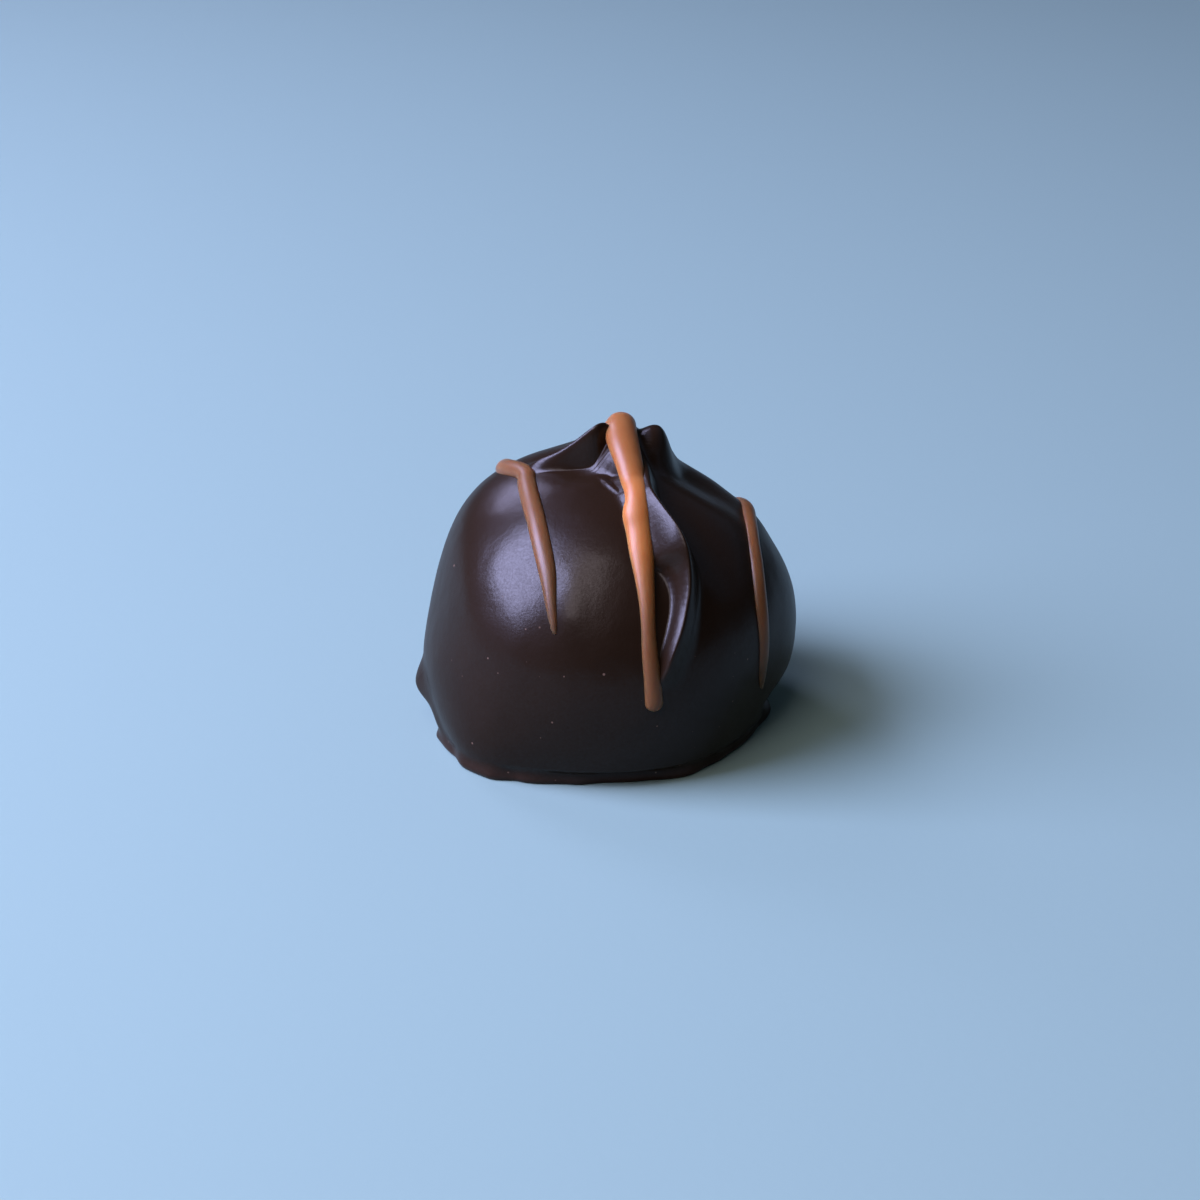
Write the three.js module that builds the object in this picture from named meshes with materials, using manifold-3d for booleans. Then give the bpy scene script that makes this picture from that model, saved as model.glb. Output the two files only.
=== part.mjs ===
// An orange truffle enrobed in dark chocolate: a ball that settled on a flat base while the coating was soft,
// a fold pulled up along its top and front, a peak and a knob where the coating let go of the fork, and three
// thick lines of orange chocolate drizzled over it. It is one solid piece of food, so the lines are joined to
// the body.
// Millimetres, +Z up, the flat base on Z = 0, the fold on the -Y side. The ball's axis is the Z axis.
import * as THREE from "three";
import { mergeVertices } from "three/addons/utils/BufferGeometryUtils.js";
import Module from "manifold-3d";

const wasm = await Module();
wasm.setup();

// Driving dimensions
const BALL_RADIUS = 15.35;
const BALL_HEIGHT = 7; // the ball's middle above the base
const FOOT_EDGE = 1; // how high the foot's edge stands before the ball takes over
const FOOT_ROUND = 0.25; // how far that edge swells out above the base
const BEAD_TALL = 0.82; // a drizzle line's height as a share of its width
const BEAD_SUNK = 0.06; // how far its middle lies in the coating, as a share of its width

// Directions from the ball's middle are an azimuth and an elevation in degrees. Azimuth 0 is the front, -Y,
// and 90 is the right, +X.

// Radius of the foot's outline on the base, round the piece: azimuth, radius.
const FOOT = [
  [-180, 13.6], [-150, 14.3], [-120, 13.7], [-95, 13.6], [-78, 13.4], [-67, 14.55], [-55, 14.75],
  [-46, 15.4], [-37, 15.4], [-28, 14.5], [-12, 13.6], [0, 13], [12, 13], [27, 13.45], [40, 12.9],
  [52, 12.6], [72, 12.6], [87, 13.25], [95, 12.9], [115, 13.5], [150, 14.2], [180, 13.6],
];

// Where the ball is fuller or flatter than round: azimuth, elevation, height, half-width, half-height, turn.
const SWELLS = [
  [-73, 18, -0.85, 6.5, 5, 0], // the flat left flank
  [-98, 12, -0.5, 6.5, 7, 0],
  [-112, 46, 0.55, 6.5, 5.5, 0], // the full shoulder above it
  [-150, 64, 0.1, 5, 5, 0],
  [98, 60, -1.1, 4, 5, 0], // the low right shoulder
  [92, 14, 0.25, 5, 4, 0],
  [56, -12, -1.25, 6, 6, 0], // the right flank draws in toward the foot
  [-42, -22, 1.3, 4.6, 4.6, 0], // the coating gathered above the foot at the front left
  [-12, 30, 0.12, 1.2, 2.6, 0], // a faint dent's rim between two of the lines
  [-30, 80, -0.6, 2.2, 1.4, 20], // the hollow under the brim
  [19, 50, -0.35, 0.8, 3.8, 0], // the valley between the middle line and the fold
  [46, 48, -0.35, 1.6, 4.5, 0], // the low ground behind the fold
  [105, 36.5, 0.22, 2, 2, 0], // a lump under the right line
  [-79, -22, -1.2, 2, 1.1, 0], // the undercut below the left corner
  [88, -19.5, -1.8, 3.6, 1.7, 0], // and the one above the foot's tip on the right
];

// Ridges of the coating: azimuth, elevation, height, width on the left, width on the right, softness of the
// crest. Left and right are those of a walk along the ridge.
const PEAK = [110, 86, 2.5, 2.2, 1.2, 0.5];
const RIDGES = {
  brim: [
    [-93, 65, 0.15, 1.2, 0.9, 0.2], [-84, 70, 0.7, 1.2, 0.7, 0.2], [-76, 75, 1.15, 1, 0.6, 0.25],
    [-66, 79.5, 1.95, 1.2, 0.7, 0.45], [-38, 84, 3.3, 1.4, 0.8, 0.5], [-12, 86.6, 3.4, 1.5, 0.8, 0.5],
    [40, 87.6, 2.75, 1.6, 0.9, 0.5], PEAK,
  ],
  tent: [
    [110, 86, 2.55, 2.2, 2.6, 0.3], [38, 83, 2.9, 1.6, 2.7, 0.25], [28, 78.5, 2.15, 1.5, 1.75, 0.25],
    [23, 74.5, 1.45, 1.3, 0.9, 0.25], [21, 71, 0.85, 1.2, 0.7, 0.25], [20, 67.5, 0.35, 1.2, 0.7, 0.3],
    [19.5, 65, 0.03, 1.2, 1, 0.3],
  ],
  tentBack: [
    [110, 86, 2.5, 3, 3, 0.6], [160, 75, 2, 3.2, 3.2, 0.8], [170, 62, 0.8, 3.6, 3.6, 0.8],
    [172, 50, 0.05, 3.6, 3.6, 0.8],
  ],
  crease: [
    [-32, 80, 0.03, 0.5, 0.45, 0.12], [-20, 79.3, 0.13, 0.5, 0.4, 0.12], [-9, 77.2, 0.19, 0.5, 0.4, 0.12],
    [4, 72.2, 0.2, 0.5, 0.4, 0.12], [11, 68.1, 0.18, 0.5, 0.4, 0.12], [14, 64.6, 0.03, 0.5, 0.4, 0.12],
  ],
  fold: [
    [95, 82, 1.3, 1.3, 2.6, 0.3], [38, 73, 1.7, 1.2, 2.5, 0.3], [26, 64, 2, 1.2, 1.8, 0.2],
    [26, 56.5, 2.3, 1.3, 1.75, 0.12], [27.4, 50.5, 2.55, 1.3, 2.1, 0.12], [28.3, 45, 2.5, 1.4, 2.1, 0.12],
    [28.2, 40, 2, 1.5, 1.25, 0.2], [26.8, 34, 1.6, 1.5, 0.9, 0.2], [24.5, 28.5, 1.3, 1.6, 0.75, 0.2],
    [21.8, 23, 1.25, 1.7, 0.7, 0.2], [19, 17.5, 1.1, 1.7, 0.62, 0.2], [16.8, 12, 0.75, 1.7, 0.5, 0.25],
    [15.5, 7, 0.03, 1.7, 0.8, 0.3],
  ],
  knob: [
    [152, 62, 0.6, 2.2, 2.6, 0.9], [134, 70, 1.9, 2, 2.8, 1], [110, 75.8, 3, 1.9, 2.4, 1],
    [82, 77, 1.6, 1.7, 2.4, 0.9], [62, 74.5, 0.2, 1.7, 2.2, 0.8],
  ],
  leftCorner: [
    [-87.5, -6, 0.05, 1.8, 2.2, 0.2], [-84, -13.3, 0.9, 1.8, 2.2, 0.15], [-74, -17, 0.45, 1.5, 1.5, 0.2],
    [-66, -20.5, 0.35, 1.2, 1.2, 0.3], [-60, -25, 0.25, 1, 1.1, 0.3], [-55, -29, 0.03, 1, 1.1, 0.3],
  ],
};

// How far past its width a ridge's side runs out, as a share of the width; the others 0.4.
const RUN_OUT = { brim: 0.25, tent: 0.3, knob: 0.8, fold: 0.3, tentBack: 0.8 };

// The drizzle lines, from their back ends to their front ones: azimuth, elevation, width.
const LINES = {
  left: [
    [-158, 32, 0.5], [-146, 40, 1], [-130, 48, 1.35], [-110, 57, 1.75], [-86, 65, 1.54], [-70, 64.3, 1.57],
    [-53.4, 61.1, 1.59], [-38.7, 55.3, 1.57], [-29.3, 48.2, 1.56], [-23.7, 41.6, 1.46],
    [-21.2, 37.1, 1.24], [-18.2, 29.3, 0.83], [-16.7, 24.6, 0.49], [-16.2, 23, 0.2],
  ],
  middle: [
    [176, 22, 0.6], [176, 40, 1.2], [176, 62, 1.8], [160, 79, 2.2], [46, 84.8, 2.55], [22.1, 72.6, 2.08],
    [20.4, 66.8, 1.98], [18.7, 62.6, 2.03], [17.1, 59, 2.4], [16.2, 54, 2.2], [14.7, 46.5, 1.95],
    [14, 39, 1.54], [13.6, 32, 1.28], [13.1, 24.9, 1.16], [13, 17.5, 1.3], [13.3, 10.2, 1.38],
    [13.6, 4.1, 1.46], [13.9, 0.5, 1.4],
  ],
  right: [
    [150, 8, 0.5], [140, 22, 0.9], [122, 34.2, 1.1], [106, 38.8, 1.35], [89, 40.3, 1.3], [74, 38, 1.32],
    [64.5, 31.6, 1.38], [59.2, 23.8, 1.38], [57.2, 15.2, 1.3], [57.2, 5, 1.1], [59, -3.4, 0.7],
    [61, -7.3, 0.25],
  ],
};

// Fineness of the mesh
const ROWS = 44; // from the top to the foot's outline
const COLUMNS = { back: 20, left: 48, right: 34 }; // up to the brim, on to the fold, and round to the back
const STEPS = { left: 36, middle: 52, right: 36 }; // sections along each line
const FACETS = 10; // sides of a line's section

const BALL = new THREE.Vector3(0, 0, BALL_HEIGHT);
const radians = THREE.MathUtils.degToRad;
const degrees = THREE.MathUtils.radToDeg;
const { clamp, lerp } = THREE.MathUtils;
const ease = (t) => t * t * (3 - 2 * t);

function toward(azimuth, elevation) {
  const a = radians(azimuth);
  const e = radians(elevation);
  return new THREE.Vector3(Math.sin(a) * Math.cos(e), -Math.cos(a) * Math.cos(e), Math.sin(e));
}

// Samples along a smooth path through rows that start with a direction: each holds its way and other values.
function along(rows, count) {
  const knots = rows.map(([azimuth, elevation]) => toward(azimuth, elevation));
  const ways = new THREE.CatmullRomCurve3(knots, false, "catmullrom");
  const values = rows[0].slice(2).map((_, n) => {
    return new THREE.SplineCurve(rows.map((row, i) => new THREE.Vector2(i, row[n + 2])));
  });
  return Array.from({ length: count }, (_, k) => {
    const t = k / (count - 1);
    return { way: ways.getPoint(t).normalize(), values: values.map((value) => value.getPoint(t).y) };
  });
}

// How high a ridge stands in one direction: full at its crest and falling evenly to each side.
function ridgeHeight(way, { crest, runOut }) {
  let nearest = Infinity;
  let found = null;
  for (let k = 0; k + 1 < crest.length; k++) {
    const from = crest[k].way;
    const step = crest[k + 1].way.clone().sub(from);
    const away = way.clone().sub(from);
    const t = clamp(away.dot(step) / step.lengthSq(), 0, 1);
    away.addScaledVector(step, -t);
    if (away.length() < nearest) {
      nearest = away.length();
      found = { k, t, away, left: from.clone().cross(step).normalize() };
    }
  }
  const { k, t, away, left } = found;
  const next = crest[k + 1].values;
  const [height, leftWidth, rightWidth, soft] = crest[k].values.map((value, i) => lerp(value, next[i], t));
  const side = nearest > 1e-9 ? away.dot(left) / nearest : 0;
  const width = rightWidth + (leftWidth - rightWidth) * (0.5 + 0.5 * side);
  const slope = (x) => (x < 1 - runOut ? 1 - x : Math.max(1 + runOut - x, 0) ** 2 / (4 * runOut));
  return (height * slope(Math.hypot(nearest * BALL_RADIUS, soft) / width)) / slope(soft / width);
}

// How much a swell or a hollow adds in one direction.
function swellHeight(way, [azimuth, elevation, height, wide, tall, turn]) {
  const middle = toward(azimuth, elevation);
  const east = new THREE.Vector3(0, 0, 1).cross(middle).normalize();
  const north = middle.clone().cross(east);
  const x = way.dot(east) * BALL_RADIUS;
  const y = way.dot(north) * BALL_RADIUS;
  const cos = Math.cos(radians(turn));
  const sin = Math.sin(radians(turn));
  const across = (x * cos + y * sin) / wide;
  const upward = (y * cos - x * sin) / tall;
  return height * Math.exp(-(across ** 2) - upward ** 2) * clamp(4 * way.dot(middle), 0, 1);
}

// The second value of rows at a place between their first ones, which rise. Outside them the nearest counts.
function between(rows, place, shape = (t) => t) {
  const k = rows.findIndex(([at]) => at >= place);
  if (k < 1) return k ? rows.at(-1)[1] : rows[0][1];
  const [from, to] = [rows[k - 1], rows[k]];
  return lerp(from[1], to[1], shape((place - from[0]) / (to[0] - from[0])));
}

const footRadius = (azimuth) => between(FOOT, azimuth, ease);

const CRESTS = Object.entries(RIDGES).map(([name, rows]) => {
  return { crest: along(rows, 36), runOut: RUN_OUT[name] ?? 0.4 };
});

// The distance from the ball's middle to the coating's surface in one direction.
function surface(way) {
  let r = BALL_RADIUS;
  for (const swell of SWELLS) r += swellHeight(way, swell);
  // The highest ridge rules, and two that meet run softly into each other.
  r += CRESTS.reduce((sum, ridge) => sum + Math.max(ridgeHeight(way, ridge), 0) ** 7, 0) ** (1 / 7);
  const azimuth = degrees(Math.atan2(way.x, -way.y));
  const flat = Math.max(Math.hypot(way.x, way.y), 1e-6);
  const foot = footRadius(azimuth);
  const height = BALL_HEIGHT + (foot / flat) * way.z;
  const swollen = foot + FOOT_ROUND * (1 - (1 - clamp(height / 0.6, 0, 1)) ** 2);
  const share = ease(clamp((FOOT_EDGE + 0.7 - BALL_HEIGHT - r * way.z) / 1.1, 0, 1));
  return r * (1 - share) + Math.min(swollen / flat, 40) * share;
}

// A closed solid: a sphere's grid of columns and rows with each of its points put somewhere else. place gets
// the column, and the row as a share from the first pole, 0, to the last, 1.
function wrapped(columns, rows, place) {
  const sphere = new THREE.SphereGeometry(1, columns, rows);
  const { position, uv } = sphere.attributes;
  for (let i = 0; i < position.count; i++) {
    const row = 1 - uv.getY(i);
    const isPole = row < 1e-6 || row > 1 - 1e-6;
    const column = isPole ? 0 : Math.round(uv.getX(i) * columns) % columns;
    const point = place(column, row);
    position.setXYZ(i, point.x, point.y, point.z);
  }
  sphere.deleteAttribute("normal");
  sphere.deleteAttribute("uv");
  const merged = mergeVertices(sphere);
  const mesh = new wasm.Mesh({
    numProp: 3,
    vertProperties: merged.attributes.position.array,
    triVerts: new Uint32Array(merged.index.array),
  });
  return new wasm.Manifold(mesh);
}

// A direction leant over, near the top, so that the grid's columns meet at the peak. The amount -1 undoes it.
const LEAN = toward(PEAK[0], PEAK[1]).setZ(0);

function leaning(way, elevation, amount) {
  const share = amount * ease(clamp((elevation - 50) / 40, 0, 1));
  return way.clone().addScaledVector(LEAN, share).normalize();
}

// The azimuth of a ridge's crest in the grid at each elevation, as rows that rise. The last bend is left out,
// so that above it the crest's column runs straight to the peak.
function crestAzimuths(rows) {
  const places = rows.map(([azimuth, elevation]) => {
    const way = leaning(toward(azimuth, elevation), elevation, -1);
    return [degrees(Math.asin(way.z)), degrees(Math.atan2(way.x, -way.y))];
  });
  return places.sort((a, b) => a[0] - b[0]).slice(0, -1);
}

const BRIM_AZIMUTHS = crestAzimuths(RIDGES.brim);
const FOLD_AZIMUTHS = crestAzimuths(RIDGES.fold);

// The azimuth of a column at one elevation. One column keeps to the brim's crest and one to the fold's, so
// that their steep sides come out clean.
function columnAzimuth(column, elevation) {
  const brim = between(BRIM_AZIMUTHS, elevation);
  const fold = between(FOLD_AZIMUTHS, elevation);
  const { back, left, right } = COLUMNS;
  if (column < back) return lerp(-180, brim, column / back);
  if (column < back + left) return lerp(brim, fold, (column - back) / left);
  return lerp(fold, 180, ((column - back - left) / right) ** 1.25);
}

// The body: rows from the top down to the foot's outline, closer together at both ends, and the base's
// middle.
function body() {
  const columns = COLUMNS.back + COLUMNS.left + COLUMNS.right;
  return wrapped(columns, ROWS + 1, (column, row) => {
    const t = (row * (ROWS + 1)) / ROWS;
    if (t > 1 + 1e-6) return new THREE.Vector3(0, 0, 0);
    const share = t - 0.075 * Math.sin(2 * Math.PI * t);
    const azimuth = columnAzimuth(column, 90 - 117 * share);
    const lowest = -degrees(Math.atan2(BALL_HEIGHT, footRadius(azimuth)));
    const elevation = lerp(90, lowest, share);
    const way = leaning(toward(azimuth, elevation), elevation, 1);
    const point = way.clone().multiplyScalar(surface(way)).add(BALL);
    return t > 1 - 1e-6 ? point.setZ(0) : point;
  });
}

// One drizzle line: an oval section carried along its path over the coating, rounded off at both ends.
function line(rows, steps) {
  const path = along(rows, steps + 1);
  const lifts = path.map(({ way }) => surface(way));
  const middles = path.map(({ way, values }, k) => {
    const near = lifts.slice(Math.max(k - 2, 0), k + 3);
    const lift = near.reduce((a, b) => a + b) / near.length;
    return way.clone().multiplyScalar(lift - BEAD_SUNK * values[0]).add(BALL);
  });
  const run = [0];
  for (let k = 1; k <= steps; k++) run.push(run[k - 1] + middles[k].distanceTo(middles[k - 1]));
  return wrapped(FACETS, steps, (column, row) => {
    const k = Math.round(row * steps);
    if (k === 0 || k === steps) return middles[k];
    const { way, values } = path[k];
    const ahead = middles[k + 1].clone().sub(middles[k - 1]).normalize();
    const out = way.clone().addScaledVector(ahead, -way.dot(ahead)).normalize();
    const side = ahead.clone().cross(out);
    const half = values[0] / 2;
    const toEnd = clamp(Math.min(run[k], run[steps] - run[k]) / half, 0, 1);
    const reach = half * Math.sqrt(1 - (1 - toEnd) ** 2);
    const turn = (column / FACETS) * 2 * Math.PI;
    const across = side.multiplyScalar(reach * Math.cos(turn));
    const up = out.multiplyScalar(reach * BEAD_TALL * Math.sin(turn));
    return middles[k].clone().add(across).add(up);
  });
}

// A solid as a mesh with the coating's colour.
function named(solid, name, color) {
  const { numProp, vertProperties, triVerts } = solid.getMesh();
  const geometry = new THREE.BufferGeometry();
  geometry.setAttribute("position", new THREE.BufferAttribute(vertProperties, numProp));
  geometry.setIndex(new THREE.BufferAttribute(triVerts, 1));
  geometry.computeVertexNormals();
  const mesh = new THREE.Mesh(geometry, new THREE.MeshStandardMaterial({ color, roughness: 0.4 }));
  mesh.name = name;
  return mesh;
}

let truffle = body();
for (const [name, rows] of Object.entries(LINES)) truffle = truffle.add(line(rows, STEPS[name]));

const group = new THREE.Group();
group.add(named(truffle, "enrobed_truffle", 0x33211b));

export default group;
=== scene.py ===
# %% [markdown]
# # A truffle enrobed in dark chocolate, with orange chocolate drizzled over it
#
# The real one is a ball of soft filling that was dipped in dark couverture and set down before
# the coating was firm, so it stands on a flat foot and carries a fold and a peak where the
# coating let go of the fork. Three thick lines of orange chocolate were drizzled across it last.
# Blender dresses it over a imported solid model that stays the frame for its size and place, so
# the frame is loaded first and its box is kept for a comparison at the end.

# %% The frame
import math

import bpy
import numpy as np
from mathutils import Matrix, Vector, noise


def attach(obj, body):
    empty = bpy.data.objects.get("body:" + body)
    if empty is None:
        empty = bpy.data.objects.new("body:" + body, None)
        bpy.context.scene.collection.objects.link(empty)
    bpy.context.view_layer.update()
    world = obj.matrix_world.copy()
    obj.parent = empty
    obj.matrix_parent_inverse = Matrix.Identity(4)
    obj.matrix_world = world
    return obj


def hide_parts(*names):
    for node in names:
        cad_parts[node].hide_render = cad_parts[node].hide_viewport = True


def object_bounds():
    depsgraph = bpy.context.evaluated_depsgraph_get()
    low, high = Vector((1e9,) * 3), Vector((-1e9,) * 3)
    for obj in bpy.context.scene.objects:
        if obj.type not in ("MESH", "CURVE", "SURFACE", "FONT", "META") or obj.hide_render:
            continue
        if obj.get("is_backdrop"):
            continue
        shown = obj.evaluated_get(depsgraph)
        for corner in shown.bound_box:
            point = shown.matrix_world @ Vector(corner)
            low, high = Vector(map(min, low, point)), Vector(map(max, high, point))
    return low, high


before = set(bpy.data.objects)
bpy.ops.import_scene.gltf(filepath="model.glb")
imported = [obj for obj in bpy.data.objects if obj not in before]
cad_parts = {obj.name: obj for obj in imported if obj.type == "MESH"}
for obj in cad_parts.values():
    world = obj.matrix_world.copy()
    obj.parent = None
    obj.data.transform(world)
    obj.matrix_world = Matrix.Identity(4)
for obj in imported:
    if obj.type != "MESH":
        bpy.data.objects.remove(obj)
cad_low, cad_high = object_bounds()
MM = 0.001  # this script counts in millimetres, and Blender in metres
print("nodes in the frame:", sorted(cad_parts))
print("its size in mm:", [round((high - low) / MM, 2) for low, high in zip(cad_low, cad_high)])

# %% [markdown]
# ## Where things are
#
# Everything on a truffle is easiest to place by its direction from the ball's middle, as places
# on a globe are. An azimuth of 0 is the front, which faces the camera, and 90 is the right side.
# The elevation runs from the foot below, about -27 degrees, up to 90 at the top. One function
# turns such a pair into a unit vector.

# %% Directions from the ball's middle
BALL_RADIUS = 15.35
BALL_HEIGHT = 7  # the ball's middle above the floor
MIDDLE = np.array([0, 0, BALL_HEIGHT])


def toward(azimuth, elevation):
    a, e = np.radians(azimuth), np.radians(elevation)
    return np.stack([np.sin(a) * np.cos(e), -np.cos(a) * np.cos(e), np.sin(e)], axis=-1)


def unit(vectors):
    return vectors / np.linalg.norm(vectors, axis=-1, keepdims=True)


print("the right side is toward", toward(90, 0).round(3))

# %% [markdown]
# ## The camera
#
# The picture was taken from a little above with a fairly long lens, so the ball looks round and
# its foot shows. Three numbers fix such a view: how high the camera stands, how far off it is,
# and where it looks. It could be moved about until the picture fits, but the ball's outline
# there gives the numbers at once: 12.3 pixels to the millimetre at its middle, seen from 24
# degrees above.

# %% The camera
PICTURE = 1200  # pixels along each side
LENS, SENSOR = 85, 36  # millimetres
PIXELS_PER_MM = 12.3
CAMERA_ELEVATION = 24  # degrees
BALL_SEEN_AT = (606.5, 632)  # the pixel that shows the ball's middle
NEAREST_SEEN = 10  # millimetres

lift = math.radians(CAMERA_ELEVATION)
right = Vector((1, 0, 0))
up = Vector((0, math.sin(lift), math.cos(lift)))
back = Vector((0, -math.cos(lift), math.sin(lift)))
distance = LENS / SENSOR * PICTURE / PIXELS_PER_MM
aside = (BALL_SEEN_AT[0] - PICTURE / 2) / PIXELS_PER_MM
below = (BALL_SEEN_AT[1] - PICTURE / 2) / PIXELS_PER_MM
eye = Vector(MIDDLE) - right * aside + up * below + back * distance
facing = Matrix((right, up, back)).transposed().to_4x4()

camera = bpy.data.objects.new("camera", bpy.data.cameras.new("camera"))
camera.data.lens = LENS
camera.data.sensor_width = SENSOR
camera.data.clip_start = NEAREST_SEEN * MM
camera.matrix_world = Matrix.Translation(eye * MM) @ facing
bpy.context.collection.objects.link(camera)
bpy.context.scene.camera = camera
print(f"the camera stands {distance:.0f} mm from the truffle")

# %% [markdown]
# ## Smooth paths
#
# Soft chocolate has no corners, so each ridge and each drizzled line follows a smooth curve
# through a few places. A Catmull-Rom curve passes through every place that it is given, which
# makes the places easy to read off a picture. Widths and heights change along a path in the
# same way. Blender's own curves could draw the paths, but the numbers are needed here for the
# coating's shape too, so the curve is worked out with a short formula.

# %% Smooth paths


def smooth(rows, before, after, count):
    held = np.vstack([before, rows, after])
    place = np.linspace(0, len(rows) - 1, count)
    k = np.minimum(place.astype(int), len(rows) - 2)
    t = (place - k)[:, None]
    a, b, c, d = held[k], held[k + 1], held[k + 2], held[k + 3]
    return 0.5 * (
        2 * b + (c - a) * t
        + (2 * a - 5 * b + 4 * c - d) * t**2
        + (3 * b - a - 3 * c + d) * t**3
    )


def along(rows, count):
    rows = np.array(rows, float)
    knots, values = toward(rows[:, 0], rows[:, 1]), rows[:, 2:]
    ways = unit(smooth(knots, 2 * knots[0] - knots[1], 2 * knots[-1] - knots[-2], count))
    return ways, smooth(values, values[0], values[-1], count)


# %% [markdown]
# ## Ridges of the coating
#
# As the fork came away, it drew the soft coating up. That left a brim and a tent around the
# peak, a fine crease in front of it, one long fold down the front, a knob behind, and a corner
# low on the left. A ridge is a path with a height, a width on each side of it, and how soft its
# crest is. Its height falls off evenly to each side, as a tent's roof does, and then runs out
# gently into the ball. Sculpting could make such forms too, but a formula gives the same clean
# crests each time and can be made as fine as needed.

# %% The ridges
# Each row: azimuth, elevation, height, width to the left and to the right of the walk, softness
PEAK = (110, 86, 2.5, 2.2, 1.2, 0.5)
RIDGES = {
    "brim": [
        (-93, 65, 0.15, 1.2, 0.9, 0.2), (-84, 70, 0.7, 1.2, 0.7, 0.2),
        (-76, 75, 1.15, 1, 0.6, 0.25), (-66, 79.5, 1.95, 1.2, 0.7, 0.45),
        (-38, 84, 3.3, 1.4, 0.8, 0.5), (-12, 86.6, 3.4, 1.5, 0.8, 0.5),
        (40, 87.6, 2.75, 1.6, 0.9, 0.5), PEAK,
    ],
    "tent": [
        (110, 86, 2.55, 2.2, 2.6, 0.3), (38, 83, 2.9, 1.6, 2.7, 0.25),
        (28, 78.5, 2.15, 1.5, 1.75, 0.25), (23, 74.5, 1.45, 1.3, 0.9, 0.25),
        (21, 71, 0.85, 1.2, 0.7, 0.25), (20, 67.5, 0.35, 1.2, 0.7, 0.3),
        (19.5, 65, 0.03, 1.2, 1, 0.3),
    ],
    "back of the tent": [
        (110, 86, 2.5, 3, 3, 0.6), (160, 75, 2, 3.2, 3.2, 0.8), (170, 62, 0.8, 3.6, 3.6, 0.8),
        (172, 50, 0.05, 3.6, 3.6, 0.8),
    ],
    "crease": [
        (-32, 80, 0.03, 0.5, 0.45, 0.12), (-20, 79.3, 0.13, 0.5, 0.4, 0.12),
        (-9, 77.2, 0.19, 0.5, 0.4, 0.12), (4, 72.2, 0.2, 0.5, 0.4, 0.12),
        (11, 68.1, 0.18, 0.5, 0.4, 0.12), (14, 64.6, 0.03, 0.5, 0.4, 0.12),
    ],
    "fold": [
        (95, 82, 1.3, 1.3, 2.6, 0.3), (38, 73, 1.7, 1.2, 2.5, 0.3), (26, 64, 2, 1.2, 1.8, 0.2),
        (26, 56.5, 2.3, 1.3, 1.75, 0.12), (27.4, 50.5, 2.55, 1.3, 2.1, 0.12),
        (28.3, 45, 2.5, 1.4, 2.1, 0.12), (28.2, 40, 2, 1.5, 1.25, 0.2),
        (26.8, 34, 1.6, 1.5, 0.9, 0.2), (24.5, 28.5, 1.3, 1.6, 0.75, 0.2),
        (21.8, 23, 1.25, 1.7, 0.7, 0.2), (19, 17.5, 1.1, 1.7, 0.62, 0.2),
        (16.8, 12, 0.75, 1.7, 0.5, 0.25), (15.5, 7, 0.03, 1.7, 0.8, 0.3),
    ],
    "knob": [
        (152, 62, 0.6, 2.2, 2.6, 0.9), (134, 70, 1.9, 2, 2.8, 1), (110, 75.8, 3, 1.9, 2.4, 1),
        (82, 77, 1.6, 1.7, 2.4, 0.9), (62, 74.5, 0.2, 1.7, 2.2, 0.8),
    ],
    "left corner": [
        (-87.5, -6, 0.05, 1.8, 2.2, 0.2), (-84, -13.3, 0.9, 1.8, 2.2, 0.15),
        (-74, -17, 0.45, 1.5, 1.5, 0.2), (-66, -20.5, 0.35, 1.2, 1.2, 0.3),
        (-60, -25, 0.25, 1, 1.1, 0.3), (-55, -29, 0.03, 1, 1.1, 0.3),
    ],
}
CREST_POINTS = 36  # along each ridge's path
# How far past its width a ridge's side runs out, as a share of the width
RUN_OUT = {"brim": 0.25, "tent": 0.3, "knob": 0.8, "fold": 0.3, "back of the tent": 0.8}
OTHER_RUN_OUT = 0.4
NEVER_ZERO = 1e-9  # keeps a division finite
CRESTS = {name: along(rows, CREST_POINTS) for name, rows in RIDGES.items()}


def slope(x, run_out):
    # A straight side, and then a curve that meets the ball without an edge
    return np.where(x < 1 - run_out, 1 - x, np.maximum(1 + run_out - x, 0) ** 2 / (4 * run_out))


def ridge_height(ways, name):
    ends, values = CRESTS[name]
    start, step = ends[:-1], np.diff(ends, axis=0)
    t = (ways @ step.T - (start * step).sum(1)) / (step**2).sum(1)
    t = np.clip(t, 0, 1)
    away = ways[:, None] - start - t[..., None] * step
    far = np.linalg.norm(away, axis=2)
    nearest = far.argmin(1)
    each = np.arange(len(ways))
    t, away, far = t[each, nearest, None], away[each, nearest], far[each, nearest]
    left = unit(np.cross(start, step)[nearest])
    change = np.diff(values, axis=0)[nearest]
    height, left_width, right_width, soft = (values[nearest] + t * change).T
    side = (away * left).sum(1) / np.maximum(far, NEVER_ZERO)
    width = right_width + (left_width - right_width) * (0.5 + 0.5 * side)
    run_out = RUN_OUT.get(name, OTHER_RUN_OUT)
    rounded = np.hypot(far * BALL_RADIUS, soft)
    return height * slope(rounded / width, run_out) / slope(soft / width, run_out)


fold_crest = ridge_height(toward([27.2], [50.5]), "fold")
print("at its crest the fold stands", fold_crest.round(2), "mm high")

# %% [markdown]
# ## Swells and hollows
#
# A hand-rolled ball is never quite round. It has a flat flank on the left, a full shoulder above
# that, and hollows beside the ridges. A soft brush could push them in and out by hand. As rows
# of a table, each one's width, height and tilt can be changed without touching the others.

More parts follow.
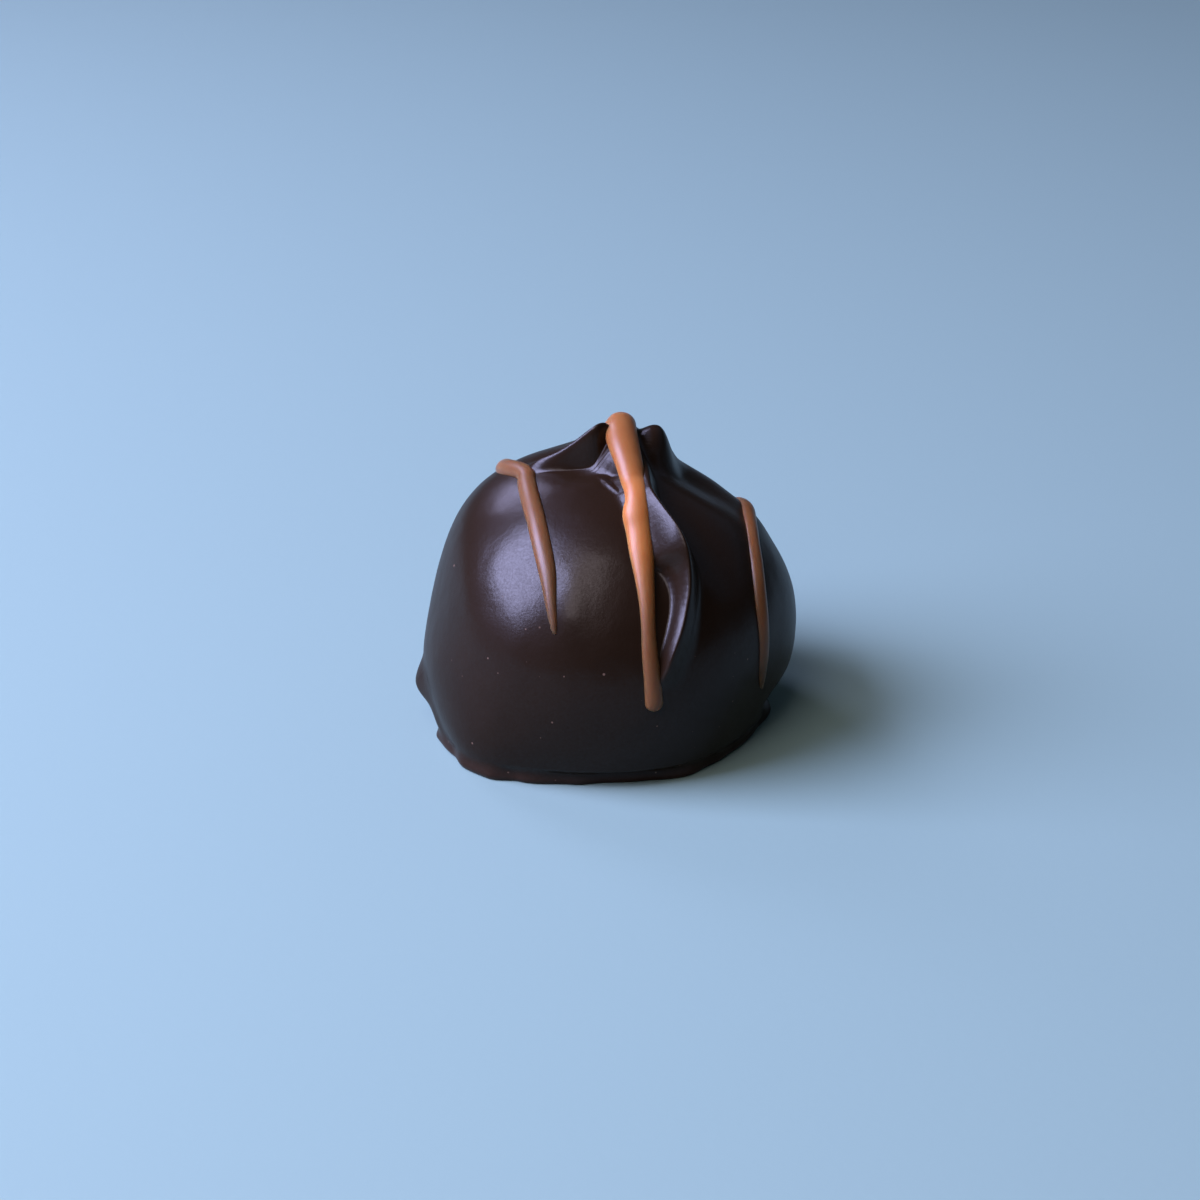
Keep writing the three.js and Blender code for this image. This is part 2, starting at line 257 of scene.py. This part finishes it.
# %% The swells
# Each row: azimuth, elevation, height, half its width, half its height on the ball, turn
SWELLS = [
    (-73, 18, -0.85, 6.5, 5, 0),  # the flat left flank
    (-98, 12, -0.5, 6.5, 7, 0),
    (-112, 46, 0.55, 6.5, 5.5, 0),  # the full shoulder above it
    (-150, 64, 0.1, 5, 5, 0),
    (98, 60, -1.1, 4, 5, 0),  # the low right shoulder
    (92, 14, 0.25, 5, 4, 0),
    (56, -12, -1.25, 6, 6, 0),  # the right flank draws in toward the foot
    (-42, -22, 1.3, 4.6, 4.6, 0),  # the coating gathered above the foot at the front left
    (-12, 30, 0.12, 1.2, 2.6, 0),  # a faint dent's rim between two of the lines
    (-30, 80, -0.6, 2.2, 1.4, 20),  # the hollow under the brim
    (19, 50, -0.35, 0.8, 3.8, 0),  # the valley between the middle line and the fold
    (46, 48, -0.35, 1.6, 4.5, 0),  # the low ground behind the fold
    (105, 36.5, 0.22, 2, 2, 0),  # a lump under the right line
    (-79, -22, -1.2, 2, 1.1, 0),  # the undercut below the left corner
    (88, -19.5, -1.8, 3.6, 1.7, 0),  # and the one above the foot's tip on the right
]


def swell_height(ways, azimuth, elevation, height, wide, tall, turn):
    middle = toward(azimuth, elevation)
    east = unit(np.cross([0, 0, 1], middle))
    north = np.cross(middle, east)
    x, y = ways @ east * BALL_RADIUS, ways @ north * BALL_RADIUS
    cos, sin = math.cos(math.radians(turn)), math.sin(math.radians(turn))
    across, upward = (x * cos + y * sin) / wide, (y * cos - x * sin) / tall
    same_side = np.clip(4 * ways @ middle, 0, 1)  # 0 on the ball's far side
    return height * np.exp(-(across**2) - upward**2) * same_side


print(len(SWELLS), "swells and hollows")

# %% [markdown]
# ## The foot
#
# While it set, the coating ran down and spread into a thin rim. The rim's outline is uneven, so
# it is given as a radius every so many degrees, with an eased step from one to the next. It
# could be a ring of its own, but the coating has no seam there, so it joins the same formula.

# %% The foot's outline on the floor: azimuth, radius
FOOT = np.array([
    (-180, 13.6), (-150, 14.3), (-120, 13.7), (-95, 13.6), (-78, 13.4), (-67, 14.55),
    (-55, 14.75), (-46, 15.4), (-37, 15.4), (-28, 14.5), (-12, 13.6), (0, 13), (12, 13),
    (27, 13.45), (40, 12.9), (52, 12.6), (72, 12.6), (87, 13.25), (95, 12.9), (115, 13.5),
    (150, 14.2), (180, 13.6),
])


def ease(t):
    return t * t * (3 - 2 * t)


def foot_radius(azimuth):
    k = np.clip(np.searchsorted(FOOT[:, 0], azimuth) - 1, 0, len(FOOT) - 2)
    t = ease((azimuth - FOOT[k, 0]) / (FOOT[k + 1, 0] - FOOT[k, 0]))
    return FOOT[k, 1] + (FOOT[k + 1, 1] - FOOT[k, 1]) * t


print("at the front the foot reaches out", foot_radius(0), "mm")

# %% [markdown]
# ## The coating as one formula
#
# The whole body is one distance from the ball's middle for each direction. Swells add up, but of
# the ridges the highest one rules: a sum of high powers picks it and still lets two ridges that
# meet run softly into each other. Low down, the ball gives way to the foot. Separate forms that
# are merged with booleans would meet in hard corners, which soft chocolate doesn't have.

# %% The distance from the ball's middle to the coating's surface
RIDGE_POWER = 7  # the higher, the more the highest ridge rules
FOOT_ROUND = 0.25  # how far the foot's edge swells out above the floor
FOOT_ROUND_TALL = 0.6  # how high up that swelling ends
FOOT_TOP = 1.7  # the ball rules above this height
FOOT_FADE = 1.1  # and the foot rules this much lower
FARTHEST = 40  # keeps a level direction's distance finite
AT_ONCE = 4000  # directions worked out together, to spare memory


def surface(ways):
    parts = np.array_split(ways, len(ways) // AT_ONCE + 1)
    return np.concatenate([part_of_surface(part) for part in parts])


def part_of_surface(ways):
    r = BALL_RADIUS + sum(swell_height(ways, *swell) for swell in SWELLS)
    powers = sum(np.maximum(ridge_height(ways, name), 0) ** RIDGE_POWER for name in CRESTS)
    r += powers ** (1 / RIDGE_POWER)
    flat = np.maximum(np.hypot(ways[:, 0], ways[:, 1]), NEVER_ZERO)
    foot = foot_radius(np.degrees(np.arctan2(ways[:, 0], -ways[:, 1])))
    height = BALL_HEIGHT + foot / flat * ways[:, 2]
    swollen = foot + FOOT_ROUND * (1 - (1 - np.clip(height / FOOT_ROUND_TALL, 0, 1)) ** 2)
    share = ease(np.clip((FOOT_TOP - BALL_HEIGHT - r * ways[:, 2]) / FOOT_FADE, 0, 1))
    return r * (1 - share) + np.minimum(swollen / flat, FARTHEST) * share


print("at the front the coating lies", surface(toward([0], [0])).round(2), "mm from the middle")

# %% [markdown]
# ## A grid that follows the crests
#
# The coating's mesh is a globe's grid of rows and columns, each point pushed out to the surface.
# A sharp crest that runs across such a grid comes out toothed, as a slanted line does on squared
# paper. So one column bends to keep to the brim's crest and one to the fold's, and the columns
# crowd together toward them. The grid leans over at the top so that all columns meet at the
# peak, where the crests do. The rows crowd together at the top and at the foot.

# %% The grid's columns and rows
ROWS = 330
COLUMNS = {"back": 110, "left": 230, "right": 180}
ROW_CROWDING, LEFT_CROWDING, RIGHT_CROWDING = 0.075, 0.1, 1.4
LEAN_FROM = 50  # the elevation where the lean starts
LOWEST = -27  # the elevation of the foot, about


def leaning(ways, elevation, amount):
    share = amount * ease(np.clip((np.asarray(elevation) - LEAN_FROM) / (90 - LEAN_FROM), 0, 1))
    return unit(ways + share[..., None] * toward(*PEAK[:2]) * [1, 1, 0])


def crest_line(name):
    azimuth, elevation = np.array(RIDGES[name])[:, :2].T
    x, y, z = leaning(toward(azimuth, elevation), elevation, -1).T
    rows = sorted(zip(np.degrees(np.arcsin(z)), np.degrees(np.arctan2(x, -y))))
    return np.array(rows[:-1]).T  # above its last bend a crest runs straight to the peak


CREST_LINES = crest_line("brim"), crest_line("fold")


def column_azimuths(elevation):
    brim, fold = (np.interp(elevation, *line) for line in CREST_LINES)
    back, left, right = (np.arange(count) / count for count in COLUMNS.values())
    left = left - LEFT_CROWDING * np.sin(2 * np.pi * left)
    right = right**RIGHT_CROWDING
    return np.concatenate([
        -180 + (brim + 180) * back, brim + (fold - brim) * left, fold + (180 - fold) * right,
    ])


shares = np.linspace(0, 1, ROWS + 1)
shares = shares - ROW_CROWDING * np.sin(2 * np.pi * shares)
azimuths = np.array([column_azimuths(90 - (90 - LOWEST) * share) for share in shares])
lowest = -np.degrees(np.arctan2(BALL_HEIGHT, foot_radius(azimuths)))
elevations = 90 + (lowest - 90) * shares[:, None]
grid_ways = leaning(toward(azimuths, elevations), elevations, 1)
print(f"the grid has {grid_ways.shape[0]} rows of {grid_ways.shape[1]} points")

# %% [markdown]
# ## Points into meshes
#
# The body and the lines are the same kind of mesh: rings of points one after another, with quads
# between the rings, and a fan of triangles to one last point at each end. Blender's own spheres
# and tubes would have to be bent into place, so the points and faces are handed over directly.

# %% Points into meshes


def mesh_piece(name, points, faces, numbers=None):
    mesh = bpy.data.meshes.new(name)
    mesh.from_pydata((np.asarray(points) * MM).tolist(), [], faces)
    mesh.shade_smooth()
    for title, values in (numbers or {}).items():
        attribute = mesh.attributes.new(title, "FLOAT", "POINT")
        attribute.data.foreach_set("value", np.asarray(values, np.float32))
    piece = bpy.data.objects.new(name, mesh)
    bpy.context.collection.objects.link(piece)
    return piece


def rings_to_faces(rings, around):
    sides = [(k, (k + 1) % around) for k in range(around)]
    last, start, end = (rings - 1) * around, rings * around, rings * around + 1
    faces = []
    for ring in range(0, last, around):
        after = ring + around
        faces += [(ring + a, after + a, after + b, ring + b) for a, b in sides]
    faces += [(start, a, b) for a, b in sides]
    faces += [(end, last + b, last + a) for a, b in sides]
    return faces


print("a pencil of 2 rings of 6 points has", len(rings_to_faces(2, 6)), "faces")

# %% [markdown]
# ## The enrobed body
#
# The grid's points become the body, with a cap at the peak and the flat base that the truffle
# stands on. The face of the coating isn't perfectly even either. It set over a lumpy filling, so
# a slow noise of a few hundredths of a millimetre makes the highlights wander a little, as they
# do on the real one. A displace modifier could add it, but the points are still at hand here.

# %% The enrobed body
LUMPS = [(4.5, 1), (1.7, 0.4)]  # how wide the filling's lumps are, and their shares
LUMP_HEIGHT = 0.045
LUMPS_FROM, LUMPS_FADE = 1, 3  # they start above the foot and are full 3 mm higher


def lump(point):
    return sum(share * noise.noise(Vector(point / size)) for size, share in LUMPS)


rows, columns = grid_ways.shape[:2]
ways = grid_ways[1:].reshape(-1, 3)
skin = MIDDLE + ways * surface(ways)[:, None]
lumps = np.array([lump(point) for point in skin])
above_foot = ease(np.clip((skin[:, 2] - LUMPS_FROM) / LUMPS_FADE, 0, 1))
skin += ways * (LUMP_HEIGHT * lumps * above_foot)[:, None]
skin[-columns:, 2] = 0
top = MIDDLE + grid_ways[0, 0] * surface(grid_ways[0, :1])[0]
points = np.vstack([skin, top, (0, 0, 0)])
enrobed_body = mesh_piece("enrobed_body", points, rings_to_faces(rows - 1, columns))
faces = len(enrobed_body.data.polygons)
print(f"{enrobed_body.name}: {faces} faces, {np.ptp(points, axis=0).round(2)} mm")

# %% [markdown]
# ## The drizzled lines
#
# Orange chocolate fell from a spoon in thick lines that rounded off as they set and sank a
# little into the coating. Each is an oval section carried along its path over the body, thin
# where the stream ran out and rounded off at its ends. A bevelled curve could draw it, but a
# mesh keeps the section's height apart from its width, and it can carry a number per point that
# says how far its colour darkens there. Part of that darkening is real: where the chocolate is
# thin, the dark coating shows through. The rest is painted shade, on the right line, which lies
# on the shaded side, and low on the middle line, where less light reaches.

# %% The lines' paths: azimuth, elevation, width, and how far the colour darkens, for thin chocolate and for painted shade
LINES = {
    "left": [
        (-158, 32, 0.5, 1), (-146, 40, 1, 1), (-130, 48, 1.35, 0.9), (-110, 57, 1.75, 0.85),
        (-86, 65, 1.54, 0.85), (-70, 64.3, 1.57, 0.85), (-53.4, 61.1, 1.59, 0.84),
        (-38.7, 55.3, 1.57, 0.82), (-29.3, 48.2, 1.56, 0.82), (-23.7, 41.6, 1.46, 0.86),
        (-21.2, 37.1, 1.24, 0.9), (-18.2, 29.3, 0.83, 0.95), (-16.7, 24.6, 0.49, 1),
        (-16.2, 23, 0.2, 1),
    ],
    # Low down, the middle line's darkening is partly thin chocolate and partly painted shade,
    # where less light falls.
    "middle": [
        (176, 22, 0.6, 0.9), (176, 40, 1.2, 0.8), (176, 62, 1.8, 0.6), (160, 79, 2.2, 0.55),
        (46, 84.8, 2.55, 0.5), (22.1, 72.6, 2.08, 0.3), (20.4, 66.8, 1.98, 0.12),
        (18.7, 62.6, 2.03, 0), (17.1, 59, 2.4, 0), (16.2, 54, 2.2, 0), (14.7, 46.5, 1.95, 0.05),
        (14, 39, 1.54, 0.35), (13.6, 32, 1.28, 0.6), (13.1, 24.9, 1.16, 0.76),
        (13, 17.5, 1.3, 0.8), (13.3, 10.2, 1.38, 0.8), (13.6, 4.1, 1.46, 0.8),
        (13.9, 0.5, 1.4, 0.8),
    ],
    # The right line lies on the shaded side, so its darkening is painted shade as well as thin
    # chocolate.
    "right": [
        (150, 8, 0.5, 0.9), (140, 22, 0.9, 0.9), (122, 34.2, 1.1, 0.85), (106, 38.8, 1.35, 0.8),
        (89, 40.3, 1.3, 0.75), (74, 38, 1.32, 0.7), (64.5, 31.6, 1.38, 0.75),
        (59.2, 23.8, 1.38, 0.8), (57.2, 15.2, 1.3, 0.85), (57.2, 5, 1.1, 0.95),
        (59, -3.4, 0.7, 1), (61, -7.3, 0.25, 1),
    ],
}
BEAD_TALL = 0.82  # a line's height as a share of its width
BEAD_SUNK = 0.06  # how far its middle lies in the coating, as a share of its width
SECTIONS, FACETS = 240, 28
BRIDGED = SECTIONS // 14  # a line bridges dips and bumps that are shorter than this


def bed(ways):
    padded = np.pad(surface(ways), BRIDGED, mode="edge")
    share = np.hanning(2 * BRIDGED + 3)[1:-1]
    return np.convolve(padded, share / share.sum(), mode="valid")


def half_widths(middles, width):
    steps = np.linalg.norm(np.diff(middles, axis=0), axis=1)
    run = np.concatenate([[0], np.cumsum(steps)])
    to_end = np.clip(np.minimum(run, run[-1] - run) / (width / 2), 0, 1)
    return width / 2 * np.sqrt(1 - (1 - to_end) ** 2)


def drizzled_line(side):
    ways, values = along(LINES[side], SECTIONS + 1)
    width, thin_and_shade = values.T
    middles = MIDDLE + ways * (bed(ways) - BEAD_SUNK * width)[:, None]
    ahead = unit(np.gradient(middles, axis=0))
    out = unit(ways - ahead * (ways * ahead).sum(1, keepdims=True))
    across = np.cross(ahead, out)
    turn = (np.arange(FACETS) / FACETS * 2 * np.pi)[None, :, None]
    ring = across[1:-1, None] * np.cos(turn) + out[1:-1, None] * BEAD_TALL * np.sin(turn)
    rings = middles[1:-1, None] + half_widths(middles, width)[1:-1, None, None] * ring
    points = np.vstack([rings.reshape(-1, 3), middles[0], middles[-1]])
    # Each point's darkening: thin chocolate where the dark coating shows through, and painted
    # shade on the lines' shaded parts.
    numbers = {"thin_and_shade": np.concatenate([np.repeat(thin_and_shade[1:-1], FACETS), thin_and_shade[[0, -1]]])}
    return mesh_piece(f"drizzle_{side}", points, rings_to_faces(SECTIONS - 1, FACETS), numbers)


drizzles = [drizzled_line(side) for side in LINES]
print("lines:", [f"{piece.name} {len(piece.data.polygons)} faces" for piece in drizzles])

# %% [markdown]
# ## Helpers for the finishes
#
# A finish could be wired up by hand in the shader editor. As code it needs three helpers to stay
# readable from top to bottom. Colours are read off as sRGB hex values, but a shader wants linear
# ones, so one function turns them. One adds a node with its settings and its links at once, and
# one starts an empty finish.

# %% Helpers for the finishes


def linear(hexadecimal):
    parts = [int(hexadecimal[k : k + 2], 16) / 255 for k in (1, 3, 5)]
    parts = [p / 12.92 if p <= 0.04045 else ((p + 0.055) / 1.055) ** 2.4 for p in parts]
    return (*parts, 1)


def add_node(tree, kind, links=None, **settings):
    node = tree.nodes.new(kind)
    for name, value in settings.items():
        if hasattr(node, name):
            setattr(node, name, value)
        else:
            node.inputs[name.replace("_", " ")].default_value = value
    for name, source in (links or {}).items():
        tree.links.new(source, node.inputs[name])
    return node


def new_finish(name):
    finish = bpy.data.materials.new(name)
    finish.use_nodes = True
    finish.node_tree.nodes.clear()
    return finish, finish.node_tree


print("mid grey in linear light:", [round(part, 3) for part in linear("#808080")[:3]])

# %% [markdown]
# ## Tempered dark couverture
#
# Dark couverture is cocoa solids and sugar in cocoa butter, tempered so that the butter sets in
# fine crystals. The face that cools in the open air is satin: glossy enough to show a window as
# a soft patch, with a fine grain and a slight mottling in it. Cocoa butter's IOR is about 1.46.
# One plain brown would look like plastic. The real colour wavers a little where the coating is
# thicker or thinner, so a slow noise mixes two close browns, and it is redder where a thin film
# ran out at the foot.

# %% Tempered dark couverture: its colour
COCOA_BUTTER_IOR = 1.46
FILM_TALL = 1.7  # how far up from the floor the thin film at the foot reaches

dark_couverture, tree = new_finish("tempered_dark_couverture")
place = add_node(tree, "ShaderNodeTexCoord").outputs["Object"]
slow = add_node(tree, "ShaderNodeTexNoise", {"Vector": place}, Scale=1 / (6 * MM), Detail=3.0)
tint = add_node(
    tree, "ShaderNodeMix", {"Factor": slow.outputs["Fac"]},
    data_type="RGBA", A=linear("#150b04"), B=linear("#1c1007"),
)
height = add_node(tree, "ShaderNodeSeparateXYZ", {"Vector": place})
low_down = add_node(
    tree, "ShaderNodeMapRange", {"Value": height.outputs["Z"]},
    From_Max=FILM_TALL * MM, To_Min=1, To_Max=0,
)
patchy = add_node(
    tree, "ShaderNodeMath", {0: low_down.outputs["Result"], 1: slow.outputs["Fac"]},
    operation="MULTIPLY",
)
coating = add_node(
    tree, "ShaderNodeMix", {"Factor": patchy.outputs["Value"], "A": tint.outputs["Result"]},
    data_type="RGBA", B=linear("#321d14"),
)
print("the film at the foot is", FILM_TALL, "mm tall")

# %% [markdown]
# The mottling is a slow unevenness of the face, about a millimetre wide. The grain is fat
# crystals of about 0.05 mm, too fine for the picture, so it is drawn at 0.18 mm. Both are bumps
# in the finish, because a mesh would need millions of points for a relief so low. The gloss
# wavers from grain to grain as well, which breaks up a highlight.

# %% Tempered dark couverture: its face
mottle = add_node(
    tree, "ShaderNodeTexNoise", {"Vector": place},
    Scale=1 / (0.9 * MM), Detail=5.0, Roughness=0.65,
)
grain = add_node(tree, "ShaderNodeTexNoise", {"Vector": place}, Scale=1 / (0.18 * MM), Detail=2.0)
waves = add_node(
    tree, "ShaderNodeBump", {"Height": mottle.outputs["Fac"]}, Strength=0.4, Distance=0.05 * MM
)
relief = add_node(
    tree, "ShaderNodeBump", {"Height": grain.outputs["Fac"], "Normal": waves.outputs["Normal"]},
    Strength=0.25, Distance=0.02 * MM,
)
sheen = add_node(
    tree, "ShaderNodeMapRange", {"Value": grain.outputs["Fac"]},
    From_Min=0.3, From_Max=0.7, To_Min=0.27, To_Max=0.43,
)
print("the finish has", len(tree.nodes), "nodes so far")

# %% [markdown]
# Crumbs and dust from the tray cling to the lower part. A Voronoi pattern drops one dot in each
# of its cells of a millimetre. The dots are of several sizes, up to about a quarter of a
# millimetre, and only some cells keep theirs: more of them low down than high up. Scattered
# meshes could stand for them, but they are too small to show a shape.

# %% Crumbs and dust
THINNED_OUT_AT = 16  # the height where nearly all the crumbs are gone

cells = add_node(tree, "ShaderNodeTexVoronoi", {"Vector": place}, Scale=1 / MM)
lot = add_node(tree, "ShaderNodeSeparateColor", {"Color": cells.outputs["Color"]})
small = add_node(
    tree, "ShaderNodeMapRange", {"Value": lot.outputs["Green"]}, To_Min=0.7, To_Max=2.5
)
reach = add_node(
    tree, "ShaderNodeMath", {0: cells.outputs["Distance"], 1: small.outputs["Result"]},
    operation="MULTIPLY",
)
dot = add_node(
    tree, "ShaderNodeMapRange", {"Value": reach.outputs["Value"]},
    From_Min=0.05, From_Max=0.1, To_Min=1, To_Max=0,
)
least = add_node(
    tree, "ShaderNodeMapRange", {"Value": height.outputs["Z"]},
    From_Max=THINNED_OUT_AT * MM, To_Min=0.2, To_Max=0.9,
)
kept = add_node(
    tree, "ShaderNodeMath", {0: lot.outputs["Red"], 1: least.outputs["Result"]},
    operation="GREATER_THAN",
)
speck = add_node(
    tree, "ShaderNodeMath", {0: dot.outputs["Result"], 1: kept.outputs["Value"]},
    operation="MULTIPLY",
)
dusty = add_node(
    tree, "ShaderNodeMix", {"Factor": speck.outputs["Value"], "A": coating.outputs["Result"]},
    data_type="RGBA", B=linear("#5a463a"),
)
shader = add_node(
    tree, "ShaderNodeBsdfPrincipled",
    {"Base Color": dusty.outputs["Result"], "Normal": relief.outputs["Normal"],
     "Coat Weight": sheen.outputs["Result"], "Coat Normal": relief.outputs["Normal"]},
    Roughness=0.5, IOR=COCOA_BUTTER_IOR, Specular_IOR_Level=0.03, Coat_Roughness=0.25,
)
add_node(tree, "ShaderNodeOutputMaterial", {"Surface": shader.outputs["BSDF"]})
enrobed_body.data.materials.append(dark_couverture)
print(dark_couverture.name, "has", len(tree.nodes), "nodes")

# %% [markdown]
# ## Orange chocolate
#
# The drizzle is milk chocolate coloured and flavoured with orange. It set without a mould as
# well, so it has the same satin face, with milk solids in it that scatter light. The colour
# darkens toward a dark brown with the number that each point carries: where the stream ran thin
# the dark coating shows through, and on the shaded right line and the lower middle line the same
# darkening is painted shade. The milk solids make its grain a little coarser than the coating's.

# %% Orange chocolate
orange_chocolate, tree = new_finish("orange_milk_chocolate")
place = add_node(tree, "ShaderNodeTexCoord").outputs["Object"]
slow = add_node(tree, "ShaderNodeTexNoise", {"Vector": place}, Scale=1 / (1.5 * MM), Detail=4.0)
tint = add_node(
    tree, "ShaderNodeMix", {"Factor": slow.outputs["Fac"]},
    data_type="RGBA", A=linear("#8b5424"), B=linear("#9d6431"),
)
# The darkening number and its mix: thin chocolate where the dark coating shows through, and
# painted shade on the lines' shaded parts.
thin_and_shade = add_node(tree, "ShaderNodeAttribute", attribute_name="thin_and_shade")
dark_through_and_shade = add_node(
    tree, "ShaderNodeMix", {"Factor": thin_and_shade.outputs["Fac"], "A": tint.outputs["Result"]},
    data_type="RGBA", B=linear("#452e19"),
)
grain = add_node(tree, "ShaderNodeTexNoise", {"Vector": place}, Scale=1 / (0.22 * MM), Detail=2.0)
relief = add_node(
    tree, "ShaderNodeBump", {"Height": grain.outputs["Fac"]}, Strength=0.35, Distance=0.03 * MM
)
shader = add_node(
    tree, "ShaderNodeBsdfPrincipled",
    {"Base Color": dark_through_and_shade.outputs["Result"], "Normal": relief.outputs["Normal"],
     "Coat Normal": relief.outputs["Normal"]},
    Roughness=0.45, IOR=COCOA_BUTTER_IOR, Specular_IOR_Level=0.12,
    Subsurface_Weight=0.9, Subsurface_Scale=2 * MM, Subsurface_Radius=(1, 0.5, 0.3),
    Coat_Weight=0.35, Coat_Roughness=0.34,
)
add_node(tree, "ShaderNodeOutputMaterial", {"Surface": shader.outputs["BSDF"]})
for piece in drizzles:
    piece.data.materials.append(orange_chocolate)
print(orange_chocolate.name, "has", len(tree.nodes), "nodes")

# %% [markdown]
# ## Onto the frame
#
# The truffle is one solid of food in the frame, so its coating and its lines all ride on its one
# body. Together they stand for its solid, because one mesh can't carry the lines' own colour as
# cleanly as separate pieces do.

# %% Onto the frame
slots = [(enrobed_body, "dark_couverture"), *[(line, "orange_chocolate") for line in drizzles]]
for piece, slot in slots:
    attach(piece, "root")
    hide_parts("enrobed_truffle")

# %% [markdown]
# ## The floor
#
# The truffle stands on a sheet of matt card. It is large enough to fill the picture to its
# edges, and a faint grain of fibres, about 0.8 mm long, keeps it from looking like a flat
# colour. The window is bright, so a card of a middle grey comes out pale in the picture.

# %% The floor
FLOOR = 2000  # from its middle to each of its edges

corners = [(-FLOOR, -FLOOR, 0), (FLOOR, -FLOOR, 0), (FLOOR, FLOOR, 0), (-FLOOR, FLOOR, 0)]
floor = mesh_piece("floor", corners, [(0, 1, 2, 3)])
pale_card, tree = new_finish("pale_matt_card")
place = add_node(tree, "ShaderNodeTexCoord").outputs["Object"]
fibre = add_node(tree, "ShaderNodeTexNoise", {"Vector": place}, Scale=1 / (0.8 * MM), Detail=3.0)
relief = add_node(
    tree, "ShaderNodeBump", {"Height": fibre.outputs["Fac"]}, Strength=0.2, Distance=0.05 * MM
)
shader = add_node(
    tree, "ShaderNodeBsdfPrincipled", {"Normal": relief.outputs["Normal"]},
    Roughness=0.9, Base_Color=linear("#6b827b"),
)
add_node(tree, "ShaderNodeOutputMaterial", {"Surface": shader.outputs["BSDF"]})
floor.data.materials.append(pale_card)
floor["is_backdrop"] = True
print("the floor is", 2 * FLOOR * MM, "m wide")

# %% [markdown]
# ## Light
#
# The truffle is lit from the left by a large soft window of three panes. Chocolate is nearly
# black, so what the eye reads as its form is mostly the reflection of that window, and a satin
# face shows a light's edge a little blurred. Each pane is an area light. Where it stands follows
# from where its patch lies on the ball, by the mirror rule, and its size from the patch's size.
# A light's strength is given here as how bright its face is, because a reflection has that
# brightness whatever the light's size. The rest of the room is dim: a weak light for the far
# wall behind on the right, and a faint glow all round.

# %% Light
LIGHT_DISTANCE = 500
LIGHTS_FACE = Vector((0, 0, 12))  # near the truffle's middle


def soft_light(name, azimuth, elevation, width, height, brightness, colour):
    halves = (math.tan(math.radians(angle) / 2) for angle in (width, height))
    wide, tall = (2 * LIGHT_DISTANCE * MM * half for half in halves)
    light = bpy.data.lights.new(name, "AREA")
    light.shape = "RECTANGLE"
    light.size, light.size_y = wide, tall
    light.energy, light.color = brightness * math.pi * wide * tall, linear(colour)[:3]
    out = Vector(toward(azimuth, elevation))
    side = Vector(toward(azimuth + 90, 0))
    lamp = bpy.data.objects.new(name, light)
    facing = Matrix((side, out.cross(side), out)).transposed().to_4x4()
    stands_at = (LIGHTS_FACE + out * LIGHT_DISTANCE) * MM
    lamp.matrix_world = Matrix.Translation(stands_at) @ facing
    bpy.context.collection.objects.link(lamp)
    print(f"{name}: {wide / MM:.0f} by {tall / MM:.0f} mm, {light.energy:.2f} W")


# Azimuth, elevation, width and height in degrees, brightness, colour
soft_light("window_near_pane", -80, 40, 43, 40, 29, "#c8cbff")
soft_light("window_next_pane", -24, 49, 27, 44, 4.8, "#f0e2e6")
soft_light("window_far_pane", -143, 34, 16, 20, 12.5, "#cdcdff")
soft_light("room_behind", 120, 46, 60, 60, 0.22, "#b8d4ff")
world = bpy.data.worlds.new("room")
bpy.context.scene.world = world
world.use_nodes = True
glow = world.node_tree.nodes["Background"].inputs
glow["Color"].default_value = linear("#c8d2e0")
glow["Strength"].default_value = 0.06
bpy.context.scene.view_settings.view_transform = "Standard"

# %% [markdown]
# ## The size, and the end
#
# The dressed truffle must be as large as the solid model, so how far its box has grown past the
# frame's box is printed.

# %% The size, and the end
low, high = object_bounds()
grown = [((h - l) - (ch - cl)) / MM for l, h, cl, ch in zip(low, high, cad_low, cad_high)]
print("grown by, in mm:", [round(side, 3) for side in grown])
